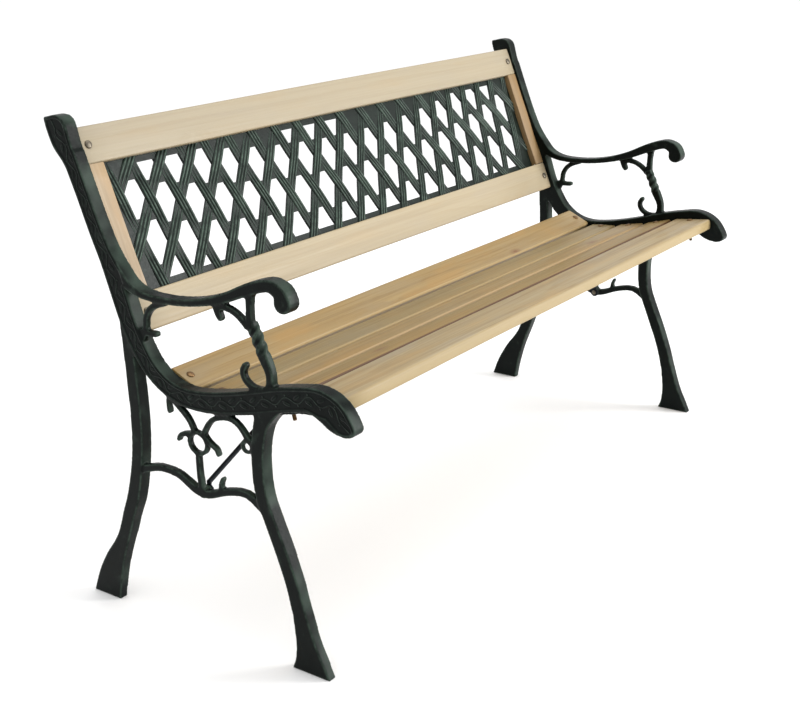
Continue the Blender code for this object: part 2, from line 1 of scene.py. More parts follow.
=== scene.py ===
"""Looks for the garden bench: cast-iron ends and lattice, varnished pine, zinc fasteners."""

import math
import random

import bmesh
import bpy
import numpy as np
from mathutils import Matrix, Vector


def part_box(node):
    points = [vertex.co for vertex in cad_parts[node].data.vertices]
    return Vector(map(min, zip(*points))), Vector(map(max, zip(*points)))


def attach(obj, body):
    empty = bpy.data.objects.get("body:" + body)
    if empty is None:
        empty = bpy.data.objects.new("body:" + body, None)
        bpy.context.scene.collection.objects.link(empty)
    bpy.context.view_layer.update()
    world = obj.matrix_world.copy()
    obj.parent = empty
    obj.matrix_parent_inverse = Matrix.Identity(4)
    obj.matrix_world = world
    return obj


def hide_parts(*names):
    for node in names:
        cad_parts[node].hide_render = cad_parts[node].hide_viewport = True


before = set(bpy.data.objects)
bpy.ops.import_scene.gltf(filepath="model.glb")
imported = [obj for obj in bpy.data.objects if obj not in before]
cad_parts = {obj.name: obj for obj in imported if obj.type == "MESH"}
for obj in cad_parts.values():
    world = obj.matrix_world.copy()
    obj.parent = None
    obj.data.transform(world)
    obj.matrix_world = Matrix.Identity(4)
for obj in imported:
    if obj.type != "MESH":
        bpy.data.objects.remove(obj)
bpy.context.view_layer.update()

# Camera
CAMERA_PLACE = Vector((-1.8012, -1.2117, 1.0090))
CAMERA_RIGHT = Vector((0.58197, -0.81286, -0.02361))
CAMERA_FORWARD = Vector((0.76565, 0.55749, -0.32090))
CAMERA_LENS = 58.17
CAMERA_SENSOR = 36         # mm wide

# Castings
HALF_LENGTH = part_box("right_end_frame")[1].x     # the outer faces' distance from the middle
VOXEL = 0.0015             # of the even mesh made from an end frame
ROUNDING_PASSES = 6
BRACE_VOXEL = 0.0008
BRACE_ROUNDING_PASSES = 8
FACE_SKIN = 0.0016         # points this close to an end frame's outer plane are on its outer face
RAIL_LINE = [     # middle line of each end's decorated face as (y, z), from the head to the nose
    (0.246, 0.735), (0.224, 0.698), (0.204, 0.646), (0.184, 0.595), (0.1655, 0.555), (0.1485, 0.510),
    (0.1335, 0.466), (0.1165, 0.432), (0.0945, 0.402), (0.0635, 0.381), (0.0255, 0.372), (-0.0265, 0.376),
    (-0.0875, 0.389), (-0.1465, 0.405), (-0.1975, 0.416), (-0.230, 0.413), (-0.252, 0.396)]
REFINED_REACH = 0.017      # from the middle line, where the mesh of the face is made finer
RAIL_REACH = 0.019         # furthest that the decoration goes from the middle line
RIM_WIDTH = 0.0052         # of the raised border round the decorated faces
RIM_RIDGE = 0.0036         # how far in from a casting's edge the border is highest
RIDGE_HALF_WIDTH = 0.0016
RIDGE_HEIGHT = 0.0004
FIELD_DEPTH = 0.0013       # of the decorated faces below their border
STEM_TOP = (-0.099, 0.500)     # ends of the twisted part of the armrest's front stem, as (y, z)
STEM_BOTTOM = (-0.117, 0.457)
STEM_FROM_OUTSIDE = 0.009  # its axis behind the casting's outer face
STEM_RADIUS = 0.0082
STEM_REACH = 0.015         # furthest from the stem's axis that the casting is reshaped
TWIST_RIDGES = 3
TWIST_PITCH = 0.044 / 3    # between one ridge and the next along the stem
TWIST_DEPTH = 0.0009
TWIST_FADE = 0.010         # length over which the twist begins and ends

# Lattice, in a frame whose Y runs up the sloping back
BOTTOM_RAIL_START = 0.006  # height up the back of the bottom rail's lower edge
WEAVE_MIDDLE = 0.1515      # height up the back where the strands' places are given
LAST_STRAND = 20           # strands run from -1 to this number
STRAND_WIDTH = 0.0180
STRAND_CORE = 0.0011       # half thickness of a strand under its ribs
RIB_HEIGHT = 0.0014
RIBS = 3
STRAND_STEP = 0.0026       # between a strand's cross-sections
STRAND_LIFT = 0.0013       # of a strand above or below the middle where two strands cross
WEB_THICKNESS = 0.0026     # of the plate that fills the corners between the strands
WEB_WEAR = -0.35           # the plate lies deeper than the strands and is drawn darker

# Timber
SLAT_EDGE_RADIUS = 0.0045
RAIL_EDGE_RADIUS = 0.0028
UPRIGHT_EDGE_RADIUS = 0.0014
SEAT_CONTRAST = 1.12           # of the grain, against the plain tone
RING_GAP = 0.0042
TIMBER_ROUGHNESS = 0.42
KNOT_STRETCH = (32, 80, 12)    # along, across and into a board; a knot ends where the scaled reach is 1
EDGE_SHADE_DEPTH = 0.0085      # from the top of a seat slat down to where the painted shade of the gap beside it is full
BOARD_EASE = 0.0010            # of the corners at a board's two ends

# Fasteners
FACETS = 24
THREAD_PITCH = 0.001
THREAD_DEPTH = 0.0004
BOLT_PLAIN_SHANK = 0.016   # length without thread, under the head
SCREW_PLAIN_SHANK = 0.005

# Wear and hollows, stored for each vertex of the iron: 1 on edges that stand out, -1 in hollows, which are
# drawn darker
WEAR_ROUNDS = 6            # of relaxing that the surface is compared with
WEAR_SCALE = 0.0006        # distance out of the relaxed surface that counts as full wear

FLOOR_REACH = 60
FLOOR_LEVEL = -0.0005      # just under the feet's soles


# Helpers ------------------------------------------------------------------------------------

def add_piece(name, mesh, place=Matrix.Identity(4), replaced=(), finish=None):
    """Adds a visible piece that stands for CAD nodes and moves with the bench."""
    made = bpy.data.objects.new(name, mesh)
    bpy.context.scene.collection.objects.link(made)
    made.matrix_world = place
    mesh.materials.clear()
    mesh.materials.append(finish)
    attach(made, "root")
    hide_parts(*replaced)


def mesh_from(builder, name, sharp_angle):
    """Turns a bmesh into a mesh, shaded smooth but for edges that bend more than the angle."""
    bmesh.ops.recalc_face_normals(builder, faces=builder.faces)
    mesh = bpy.data.meshes.new(name)
    builder.to_mesh(mesh)
    builder.free()
    mesh.shade_smooth()
    mesh.set_sharp_from_angle(angle=math.radians(sharp_angle))
    return mesh


def coordinates(mesh):
    """The mesh's vertices as rows of X, Y and Z."""
    values = np.empty(len(mesh.vertices) * 3)
    mesh.vertices.foreach_get("co", values)
    return values.reshape(-1, 3)


def normals(mesh):
    """The vertices' normals as rows of X, Y and Z."""
    values = np.empty(len(mesh.vertices) * 3, np.float32)
    mesh.vertex_normals.foreach_get("vector", values)
    return values.reshape(-1, 3).astype(float)


def edge_pairs(mesh):
    """The numbers of the two vertices at each edge's ends."""
    values = np.empty(len(mesh.edges) * 2, np.int32)
    mesh.edges.foreach_get("vertices", values)
    return values.reshape(-1, 2)


def relaxed(points, pairs, rounds):
    """The points after each has moved halfway to the middle of its neighbours, some rounds over."""
    size = len(points)
    ends, others = np.concatenate((pairs, pairs[:, ::-1])).T
    count = np.maximum(np.bincount(ends, minlength=size), 1)
    points = points.copy()
    for _ in range(rounds):
        middle = np.stack([np.bincount(ends, points[others, axis], size) / count for axis in range(3)], 1)
        points += (middle - points) / 2
    return points


def store(mesh, name, values):
    """Keeps one number for each vertex where a material can read it."""
    mesh.attributes.new(name, "FLOAT", "POINT").data.foreach_set("value", np.asarray(values, np.float32))


def store_wear(mesh):
    """Marks raised edges, where paint wears, from how far each vertex stands out of its surroundings."""
    points = coordinates(mesh)
    out = ((points - relaxed(points, edge_pairs(mesh), WEAR_ROUNDS)) * normals(mesh)).sum(1)
    store(mesh, "wear", np.clip(out / WEAR_SCALE, -1, 1))


def smoothstep(low, high, values):
    """0 at low and beyond it, 1 at high and beyond it, and a smooth rise between."""
    share = np.clip((values - low) / (high - low), 0, 1)
    return share * share * (3 - 2 * share)


def local_mesh(node):
    """A CAD node's mesh, which holds the node's place too."""
    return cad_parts[node].data


# Local frames of CAD nodes -----------------------------------------------------------------

def board_place(node, along_slope=False):
    """A board's own frame: X along it and Z out of its upper or front face, with its low and high
    corners in that frame."""
    mesh = local_mesh(node)
    widest = max(mesh.polygons, key=lambda face: face.area if face.normal.z > 0.1 else 0)
    out = widest.normal.copy()
    along = Vector((1, 0, 0))
    if along_slope:
        along = out.cross(along)
    place = Matrix((along, out.cross(along), out)).transposed().to_4x4()
    place.translation = widest.center
    points = np.array([place.inverted() @ vertex.co for vertex in mesh.vertices])
    return place, Vector(points.min(0)), Vector(points.max(0))


def turned_place(node):
    """A bolt's or screw's own frame: origin in the middle of its head's underside, Z out of the head."""
    points = coordinates(local_mesh(node))
    middle = points.mean(0)
    along = np.linalg.svd(points - middle, full_matrices=False)[2][0]
    heights = (points - middle) @ along
    across = np.linalg.norm(points - middle - np.outer(heights, along), axis=1)
    widest = across > across.max() * 0.95
    if heights[widest].mean() < 0:
        along, heights = -along, -heights
    seat = heights[widest].min()
    up = Vector(along)
    side = Vector((1, 0, 0)) if abs(up.x) < 0.9 else Vector((0, 1, 0))
    side = (side - up * side.dot(up)).normalized()
    place = Matrix((side, up.cross(side), up)).transposed().to_4x4()
    place.translation = Vector(middle) + up * seat
    return place, across.max(), seat - heights.min(), heights.max() - seat


# Materials -----------------------------------------------------------------------------------

class Shading:
    """A new node material, with short calls to add and join its nodes."""

    def __init__(self, name):
        self.material = bpy.data.materials.new(name)
        self.material.use_nodes = True
        self.tree = self.material.node_tree
        self.shader = self.tree.nodes["Principled BSDF"]

    def put(self, socket, value):
        """Links a node's output to the socket, or sets the socket to a plain value."""
        if isinstance(value, bpy.types.NodeSocket):
            self.tree.links.new(value, socket)
        else:
            socket.default_value = value

    def add(self, kind, inputs=None, output=0, **settings):
        """Adds a node and gives back one of its outputs."""
        made = self.tree.nodes.new(kind)
        for setting, value in settings.items():
            setattr(made, setting, value)
        for key, value in (inputs or {}).items():
            self.put(made.inputs[key], value)
        return made.outputs[output]

    def set(self, **inputs):
        """Fills the shader's sockets; an underscore stands for a space in a socket's name."""
        for key, value in inputs.items():
            self.put(self.shader.inputs[key.replace("_", " ")], value)

    def place(self, scale, offset=(0, 0, 0), turn=(0, 0, 0)):
        """The object's own coordinates, scaled and moved."""
        return self.add("ShaderNodeMapping", {
            "Vector": self.add("ShaderNodeTexCoord", output="Object"),
            "Location": offset, "Rotation": turn, "Scale": scale})

    def noise(self, vector, scale, detail=3.0, roughness=0.5):
        return self.add("ShaderNodeTexNoise", {
            "Vector": vector, "Scale": scale, "Detail": detail, "Roughness": roughness}, output="Fac")

    def ramp(self, value, stops, smooth=False):
        """Colours or shares between stops, which are (place, colour) or (place, share) pairs."""
        made = self.tree.nodes.new("ShaderNodeValToRGB")
        made.color_ramp.interpolation = "EASE" if smooth else "LINEAR"
        elements = made.color_ramp.elements
        while len(elements) < len(stops):
            elements.new(0.5)
        for element, (spot, colour) in zip(elements, stops):
            element.position = spot
            element.color = (*colour, 1) if isinstance(colour, tuple) else (colour, colour, colour, 1)
        self.put(made.inputs["Fac"], value)
        return made.outputs["Color"]

    def mix(self, share, first, second):
        """The first colour at share 0, going over to the second at share 1."""
        made = self.tree.nodes.new("ShaderNodeMix")
        made.data_type = "RGBA"
        for socket, value in zip((made.inputs[0], made.inputs[6], made.inputs[7]), (share, first, second)):
            self.put(socket, (*value, 1) if isinstance(value, tuple) and len(value) == 3 else value)
        return made.outputs[2]

    def maths(self, operation, first, second=0.0):
        return self.add("ShaderNodeMath", {0: first, 1: second}, operation=operation)

    def attribute(self, name):
        return self.add("ShaderNodeAttribute", output="Fac", attribute_name=name)

    def bump(self, height, distance, strength, after=None):
        inputs = {"Height": height, "Distance": distance, "Strength": strength}
        if after:
            inputs["Normal"] = after
        return self.add("ShaderNodeBump", inputs)


def iron(name, base, wear_and_sheen, gloss, grain=1.0):
    """Dark green-black paint on cast iron, grey-green where it stands out and, in patches, where it
    faces the front and up: there partly thinned paint, partly painted sheen."""
    made = Shading(name)
    spot = made.place((1, 1, 1))
    cloudy = made.noise(spot, 38, 4, 0.6)
    fine = made.noise(spot, 420, 3, 0.6)
    colour = made.ramp(cloudy, [(0.3, tuple(0.6 * value for value in base)), (0.6, base),
                                (0.85, tuple(0.5 * (a + b) for a, b in zip(base, wear_and_sheen)))])
    wear = made.maths("MULTIPLY", made.ramp(made.attribute("wear"), [(0.15, 0.0), (0.75, 1.0)]),
                      made.ramp(made.noise(spot, 90, 3, 0.7), [(0.35, 0.15), (0.65, 1.0)]))
    # painted sheen: front- and up-facing patches go over to the wear-and-sheen tone, standing for the
    # studio light's reflection as well as for thinned paint
    front_and_up = (0, -0.85, 0.53)
    facing = made.add("ShaderNodeVectorMath", {
        0: made.add("ShaderNodeTexCoord", output="Normal"), 1: front_and_up},
        output="Value", operation="DOT_PRODUCT")
    rubbed_and_sheen = made.maths("MULTIPLY", made.ramp(facing, [(0.5, 0.0), (0.9, 0.75)]),
                        made.ramp(made.noise(spot, 14, 2), [(0.45, 0.05), (0.62, 1.0)]))
    colour = made.mix(rubbed_and_sheen, colour, wear_and_sheen)
    colour = made.mix(wear, colour, wear_and_sheen)
    # hollows are drawn darker, towards a third of the base colour
    hollow = made.ramp(made.maths("MULTIPLY", made.attribute("wear"), -1.0), [(0.1, 0.0), (0.8, 0.75)])
    colour = made.mix(hollow, colour, tuple(0.3 * value for value in base))
    made.set(Base_Color=colour, Roughness=made.ramp(fine, [(0.3, 0.26), (0.7, 0.42)]),
             Specular_IOR_Level=gloss)
    rough = made.bump(fine, 0.0003 * grain, 0.4)
    made.set(Normal=made.bump(cloudy, 0.001 * grain, 0.3, rough))
    return made.material


def timber(name, tone, seed, contrast, edge=None, edge_shade=1.0, knots=()):
    """Flat-sawn pine with the grain along local X; the pith lies below the board's face. The front
    edge can have its own painted tone for the light on it, with painted shade of the gap lower down, and
    knots are (x, y) places on the face."""
    made = Shading(name)
    draw = random.Random(seed)
    late = tuple(value * (1 - share * contrast) for value, share in zip(tone, (0.24, 0.32, 0.46)))
    dark = tuple(value * (1 - share * contrast) for value, share in zip(tone, (0.42, 0.50, 0.62)))
    shift = (draw.uniform(0, 9), draw.uniform(-0.02, 0.02), draw.uniform(0.03, 0.09))
    tilt = (0, draw.uniform(-0.012, 0.012), draw.uniform(-0.012, 0.012))
    slow = made.noise(made.place((1.6, 9, 9), (seed, 0, 0)), 1.4, 2)
    spot = made.place((1, 1, 1), shift, tilt)
    sway = made.add("ShaderNodeCombineXYZ", {
        "Y": made.maths("MULTIPLY", slow, 0.012), "Z": made.maths("MULTIPLY", slow, 0.008)})
    bent = made.add("ShaderNodeVectorMath", {0: spot, 1: sway}, operation="ADD")
    rings = made.add("ShaderNodeTexWave", {
        "Vector": bent, "Scale": math.tau / 20 / RING_GAP, "Distortion": 0.8, "Detail": 2.0,
        "Detail Scale": 0.6}, output="Fac", wave_type="RINGS", rings_direction="X", wave_profile="SAW")
    fibres = made.noise(made.place((5, 420, 420), (seed, 0, 0)), 1.0, 4, 0.6)
    streaks = made.noise(made.place((1.1, 75, 75), (seed, 5, 0)), 1.0, 4, 0.65)
    patches = made.noise(made.place((2.6, 14, 14), (seed, 2, 0)), 1.0, 3)
    colour = made.mix(made.ramp(rings, [(0.0, 0.0), (0.55, 0.15), (0.95, 0.6), (1.0, 0.0)]), tone, late)
    colour = made.mix(made.ramp(fibres, [(0.38, 0.0), (0.75, 0.45)]), colour, late)
    colour = made.mix(made.ramp(streaks, [(0.48, 0.0), (0.68, 0.65)]), colour, dark)
    colour = made.mix(made.ramp(patches, [(0.42, 0.0), (0.72, 0.35)]), colour, late)
    stains = made.noise(made.place((4.5, 22, 22), (seed, 8, 0)), 1.0, 3, 0.6)
    warm = tuple(value * share for value, share in zip(tone, (1.04, 0.86, 0.60)))
    cool = tuple(value * share for value, share in zip(tone, (0.84, 0.88, 1.06)))
    colour = made.mix(made.ramp(stains, [(0.52, 0.0), (0.66, 0.55 * contrast)]), colour, warm)
    colour = made.mix(made.ramp(stains, [(0.34, 0.55 * contrast), (0.48, 0.0)]), colour, cool)
    for x, y in knots:
        centre = (-KNOT_STRETCH[0] * x, -KNOT_STRETCH[1] * y, 0)
        reach = made.add("ShaderNodeVectorMath", {0: made.place(KNOT_STRETCH, centre)},
                         output="Value", operation="LENGTH")
        reach = made.maths("ADD", reach, made.maths("MULTIPLY", streaks, 0.4))
        colour = made.mix(made.ramp(reach, [(0.34, 0.85), (0.50, 0.45), (1.0, 0.0)], True), colour,
                          (0.16, 0.060, 0.018))
    # painted light on the front edge: a tone of its own where it faces the front (a painted highlight where
    # pale, painted shade where dark), going over to painted shade of the gap lower down
    if edge:
        facing = made.add("ShaderNodeSeparateXYZ", {
            "Vector": made.add("ShaderNodeTexCoord", output="Normal")}, output="Y")
        front = made.ramp(made.maths("MULTIPLY", facing, -1.0), [(0.45, 0.0), (0.80, 1.0)])
        depth = made.add("ShaderNodeSeparateXYZ", {"Vector": made.place((1, 1, 1))}, output="Z")
        lower = made.ramp(made.maths("MULTIPLY", depth, -1 / EDGE_SHADE_DEPTH), [(0.45, 0.0), (0.75, 1.0)])
        dull = tuple(0.6 * value for value in edge)
        light = made.mix(made.ramp(streaks, [(0.4, 0.0), (0.7, 0.5)]), edge, dull)
        shaded = made.mix(lower, light, tuple(edge_shade * value for value in edge))
        colour = made.mix(front, colour, shaded)
    made.set(Base_Color=colour, Roughness=made.ramp(
        fibres, [(0.3, TIMBER_ROUGHNESS), (0.7, TIMBER_ROUGHNESS + 0.16)]))
    fine = made.bump(fibres, 0.0003, 0.4)
    made.set(Normal=made.bump(rings, 0.0003, 0.25, fine))
    return made.material


def zinc(name, tone):
    """Zinc plate dulled by the weather, with darker specks."""
    made = Shading(name)
    spot = made.place((1, 1, 1))
    cloudy = made.noise(spot, 300, 3, 0.6)
    colour = made.ramp(cloudy, [(0.3, tuple(0.55 * value for value in tone)), (0.6, tone)])
    made.set(Base_Color=colour, Metallic=1.0, Roughness=made.ramp(cloudy, [(0.3, 0.5), (0.7, 0.3)]),
             Normal=made.bump(cloudy, 0.0003, 0.3))
    return made.material


# Castings -----------------------------------------------------------------------------------

def soft_copy(node, name, voxel, rounds):
    """The node's solid with rounded edges, as a fine even mesh."""
    source = bpy.data.objects.new(name, local_mesh(node).copy())
    bpy.context.scene.collection.objects.link(source)
    remesh = source.modifiers.new("even", "REMESH")
    remesh.mode = "VOXEL"
    remesh.voxel_size = voxel
    rounding = source.modifiers.new("round", "SMOOTH")
    rounding.iterations = rounds
    bpy.context.view_layer.update()
    mesh = bpy.data.meshes.new_from_object(source.evaluated_get(bpy.context.evaluated_depsgraph_get()))
    bpy.data.objects.remove(source, do_unlink=True)
    mesh.shade_smooth()
    return mesh


def face_outline(node, side):
    """Segments round the outline of the casting's outermost flat face, as (y, z) pairs."""
    mesh = local_mesh(node)
    count = {}
    for face in mesh.polygons:
        if face.normal.x * side > 0.99 and abs(abs(face.center.x) - HALF_LENGTH) < 0.0001:
            spots = [tuple(round(value, 5) for value in mesh.vertices[index].co.yz)
                     for index in face.vertices]
            for start, end in zip(spots, spots[1:] + spots[:1]):
                key = frozenset((start, end))
                count[key] = count.get(key, 0) + 1
    return np.array([sorted(key) for key, used in count.items() if used == 1 and len(key) == 2])


def line_distance(points, starts, ends):
    """Distance from each point to the nearest segment, its place along all of them, and its side."""
    best = np.full(len(points), np.inf)
    along = np.zeros(len(points))
    offset = np.zeros(len(points))
    travelled = 0.0
    for start, end in zip(starts, ends):
        run = end - start
        length = np.linalg.norm(run)
        share = np.clip((points - start) @ run / length ** 2, 0, 1)
        gap = points - start - share[:, None] * run
        distance = np.linalg.norm(gap, axis=1)
        nearer = distance < best
        best = np.where(nearer, distance, best)
        along = np.where(nearer, travelled + share * length, along)
        offset = np.where(nearer, (gap @ np.array((-run[1], run[0]))) / length, offset)
        travelled += length
    return best, along, offset


def vine(along, offset):
    """Height, 0 to 1, of a waving stem with a leaf and a bud in each bend."""
    pitch, swing = 0.040, 0.0045
    stem_half_width = 0.0013
    leaf_offset, leaf_half_length, leaf_half_width, vein_half_width = 0.0042, 0.0072, 0.0030, 0.0006
    bud_offset, bud_radius = 0.0072, 0.0017
    stem_offset = swing * np.sin(math.tau * along / pitch)
    stem = np.clip(1 - np.abs(offset - stem_offset) / stem_half_width, 0, 1)
    number = np.floor(along / (pitch / 2))
    facing = np.where(number % 2 == 0, -1.0, 1.0)
    middle = (number + 0.5) * pitch / 2
    across = (offset - facing * leaf_offset) * facing
    forward = along - middle
    slant = 0.45
    long_way = forward * math.cos(slant) + across * math.sin(slant)
    short_way = -forward * math.sin(slant) + across * math.cos(slant)
    leaf = np.clip(1 - (long_way / leaf_half_length) ** 2 - (short_way / leaf_half_width) ** 2, 0, 1) ** 0.5
    leaf *= 1 - 0.5 * np.clip(1 - np.abs(short_way) / vein_half_width, 0, 1)
    bud = np.clip(1 - np.hypot(forward, offset + facing * bud_offset) / bud_radius, 0, 1) ** 0.5
    return np.maximum(np.maximum(stem * 0.8, leaf), bud * 0.8)


def twist_stem(points, side):
    """Makes the middle of the armrest's front stem a round bar with twisted ridges."""
    run = np.subtract(STEM_BOTTOM, STEM_TOP)
    length = np.linalg.norm(run)
    run /= length
    inward = points[:, 1:] - STEM_TOP
    along = inward @ run
    across = inward @ (-run[1], run[0])
    sideways = points[:, 0] - side * (HALF_LENGTH - STEM_FROM_OUTSIDE)
    radius = np.maximum(np.hypot(across, sideways), 1e-6)
    angle = np.arctan2(sideways, across)
    target = STEM_RADIUS + TWIST_DEPTH * np.cos(TWIST_RIDGES * angle - math.tau * along / TWIST_PITCH)
    share = smoothstep(0, TWIST_FADE, along) * smoothstep(length, length - TWIST_FADE, along)
    share = share * (radius < STEM_REACH)
    factor = 1 + share * (target / radius - 1)
    shift = (factor - 1)[:, None]
    points[:, 0] += sideways * shift[:, 0]
    points[:, 1:] += across[:, None] * np.array((-run[1], run[0])) * shift


def end_casting(label, side, finish):
    """One end frame with its border and vine in relief on the outer face."""
    node = f"{label}_end_frame"
    mesh = soft_copy(node, f"{label}_end_casting", VOXEL, ROUNDING_PASSES)
    outline = face_outline(node, side)
    rail = np.array(RAIL_LINE)
    builder = bmesh.new()
    builder.from_mesh(mesh)
    field = [face for face in builder.faces
             if face.normal.x * side > 0.9 and abs(face.calc_center_median().x) > HALF_LENGTH - 0.0012]
    middles = np.array([face.calc_center_median().yz for face in field])
    near = line_distance(middles, rail[:-1], rail[1:])[0] < REFINED_REACH
    edges = {edge for face, chosen in zip(field, near) if chosen for edge in face.edges}
    bmesh.ops.subdivide_edges(builder, edges=list(edges), cuts=1, use_grid_fill=True)
    bmesh.ops.triangulate(builder, faces=[face for face in builder.faces if len(face.verts) > 4])
    builder.to_mesh(mesh)
    builder.free()
    points = coordinates(mesh)
    outer = np.abs(points[:, 0]) > HALF_LENGTH - FACE_SKIN
    flat = points[outer][:, 1:]
    edge_gap = line_distance(flat, outline[:, 0], outline[:, 1])[0]
    rail_gap, along, offset = line_distance(flat, rail[:-1], rail[1:])
    inside = smoothstep(RIM_WIDTH - 0.0006, RIM_WIDTH + 0.0008, edge_gap)
    inside *= smoothstep(RAIL_REACH, 0.015, rail_gap)
    relief = inside * (vine(along, offset) * FIELD_DEPTH * 1.1 - FIELD_DEPTH)
    ridge = np.clip(1 - np.abs(edge_gap - RIM_RIDGE) / RIDGE_HALF_WIDTH, 0, 1)
    relief += RIDGE_HEIGHT * ridge * smoothstep(0.021, 0.018, rail_gap)
    points[outer, 0] += side * relief
    twist_stem(points, side)
    mesh.vertices.foreach_set("co", points.ravel())
    mesh.update()
    store_wear(mesh)
    mesh.shade_smooth()
    add_piece(f"{label}_end_casting", mesh, replaced=[node], finish=finish)


# Timber -------------------------------------------------------------------------------------

def rounded_section(low, high, radius, steps=6):
    """Points round a rectangle with round corners, in (y, z)."""
    spots = []
    corners = (high.y, high.z), (low.y, high.z), (low.y, low.z), (high.y, low.z)
    for corner, (corner_y, corner_z) in enumerate(corners):
        centre_y = corner_y - radius * (1 if corner in (0, 3) else -1)
        centre_z = corner_z - radius * (1 if corner in (0, 1) else -1)
        for step in range(steps + 1):
            angle = math.pi / 2 * (corner + step / steps)
            spots.append((centre_y + radius * math.cos(angle), centre_z + radius * math.sin(angle)))
    return spots


def board(node, radius, finish, seed, along_slope=False, stations=40):
    """A planed board with eased edges and ends, very slightly uneven along its length. Stations are
    the steps between its cross-sections."""
    place, low, high = board_place(node, along_slope)
    draw = random.Random(seed)
    lift_phase, sway_phase = draw.uniform(0, math.tau), draw.uniform(0, math.tau)
    middle = (low + high) / 2
    builder = bmesh.new()
    rings = []
    for station in range(stations + 1):
        share = station / stations
        x = low.x + (high.x - low.x) * share
        inset = BOARD_EASE if station in (0, stations) else 0.0
        if station in (1, stations - 1):
            x = low.x + BOARD_EASE if station == 1 else high.x - BOARD_EASE
        lift = 0.00025 * math.sin(2.1 * share * math.tau + lift_phase)
        sway = 0.00030 * math.sin(1.3 * share * math.tau + sway_phase)
        ring = []
        for y, z in rounded_section(low, high, radius):
            pull = Vector((y, z)) - Vector((middle.y, middle.z))
            pull *= 1 - inset / pull.length
            ring.append(builder.verts.new((x, middle.y + pull.x + sway, middle.z + pull.y + lift)))
        rings.append(ring)
    for ring, after in zip(rings, rings[1:]):
        for index in range(len(ring)):
            following = (index + 1) % len(ring)
            builder.faces.new((ring[index], ring[following], after[following], after[index]))
    for ring in (rings[0], rings[-1]):
        builder.faces.new(ring)
    add_piece(f"{node}_board", mesh_from(builder, node, 50), place, [node], finish)


# Lattice ------------------------------------------------------------------------------------

def weave_line(number):
    """Place and lean of one line of the lattice, counted from the left, as in the CAD model: the
    lines fan out, and those at the left lean most and stand furthest apart."""
    along = (number - 9.5) / 8.5
    place = 0.0092 + 0.529 * along - 0.0333 * along ** 2
    lean = 0.517 - 0.321 * along
    return place, lean


def back_place():
    """The lattice's frame: X along the bench from its middle, Y up the back, Z out of the front."""
    place, low, high = board_place("bottom_back_rail")
    return place @ Matrix.Translation(((low.x + high.x) / 2, low.y - BOTTOM_RAIL_START, 0))


def weave_height(number, heights):
    """How far a strand stands out of the lattice's middle, passing over and under the others in turn."""
    place, lean = weave_line(number)
    crossings = []
    for other in range(-4, LAST_STRAND + 5):
        # the other family is the mirror image: x = -(place + lean * rise)
        other_place, other_lean = weave_line(other + 0.5)
        over = 1 if (other + int(number - 0.5)) % 2 else -1
        crossings.append((WEAVE_MIDDLE - (other_place + place) / (lean + other_lean), over))
    spots, sides = zip(*sorted(crossings))
    return STRAND_LIFT * np.sin(np.interp(heights, spots, sides) * math.pi / 2)


def strand_section():
    """A ribbed strip's section as (across, height, wear) rows, with across from -1 to 1."""
    across = np.linspace(-1, 1, 8 * RIBS + 1)
    rib = np.sin(math.pi * RIBS * (across + 1) / 2) ** 2
    height = STRAND_CORE + RIB_HEIGHT * rib ** 0.6 + 0.0003 * (1 - across ** 2)
    front = np.stack([across, height, 1.3 * rib - 0.6], 1)
    back = front[::-2] * (1, -0.9, 1)
    return np.concatenate([front, back[:-1]])


def strand(number, mirror, low, high, section):
    """Points, faces and wear of one strand, cut off level at the lattice's top and bottom."""
    place, lean = weave_line(number)
    ends = sorted(WEAVE_MIDDLE + (x - place) / lean for x in (low.x, high.x))
    bottom, top = max(low.y, ends[0]), min(high.y, ends[1])
    if top - bottom < STRAND_WIDTH:
        return None
    heights = np.linspace(bottom, top, max(6, int((top - bottom) / STRAND_STEP)))
    middles = place + lean * (heights - WEAVE_MIDDLE)
    half_width = STRAND_WIDTH / 2 * math.hypot(1, lean)
    lift = weave_height(number, heights) * mirror
    size = len(section)
    points = np.empty((len(heights), size, 3))
    points[:, :, 0] = mirror * (middles[:, None] + half_width * section[None, :, 0])
    points[:, :, 1] = heights[:, None]
    points[:, :, 2] = section[None, :, 1] + lift[:, None]
    # darker where the strand dips under another, lighter where it rides over
    wear = section[None, :, 2] + 0.25 * lift[:, None] / STRAND_LIFT
    faces = []
    for row in range(len(heights) - 1):
        for step in range(size):
            corner, after = row * size + step, row * size + (step + 1) % size
            faces.append((corner, after, after + size, corner + size))
    faces.append(tuple(range(size)))
    faces.append(tuple(range((len(heights) - 1) * size, len(heights) * size)))
    return points.reshape(-1, 3), faces, wear.ravel()


def lattice(finish):
    """Ribbed strands woven over and under each other, joined by a thin plate between them."""
    place = back_place()
    panel = local_mesh("lattice_panel").copy()
    panel.transform(place.inverted())
    corners = coordinates(panel)
    low, high = Vector(corners.min(0)), Vector(corners.max(0))
    middle = (low.z + high.z) / 2
    corners[:, 2] = np.where(corners[:, 2] > middle, 0.5, -0.5) * WEB_THICKNESS
    points, wear = [corners], [np.full(len(corners), WEB_WEAR)]
    faces = [tuple(face.vertices) for face in panel.polygons]
    count = len(corners)
    section = strand_section()
    for mirror in (1, -1):
        for number in range(-1, LAST_STRAND + 1):
            made = strand(number + 0.5, mirror, low, high, section)
            if made:
                points.append(made[0])
                wear.append(made[2])
                faces.extend(tuple(index + count for index in face) for face in made[1])
                count += len(made[0])
    mesh = bpy.data.meshes.new("woven_lattice")
    mesh.from_pydata(np.concatenate(points), [], faces)
    builder = bmesh.new()
    builder.from_mesh(mesh)
    bmesh.ops.recalc_face_normals(builder, faces=builder.faces)
    builder.to_mesh(mesh)
    builder.free()
    store(mesh, "wear", np.concatenate(wear))
    mesh.shade_smooth()
    mesh.set_sharp_from_angle(angle=math.radians(50))
    add_piece("woven_lattice", mesh, place @ Matrix.Translation((0, 0, middle)), ["lattice_panel"],
              finish)


# Fasteners ----------------------------------------------------------------------------------

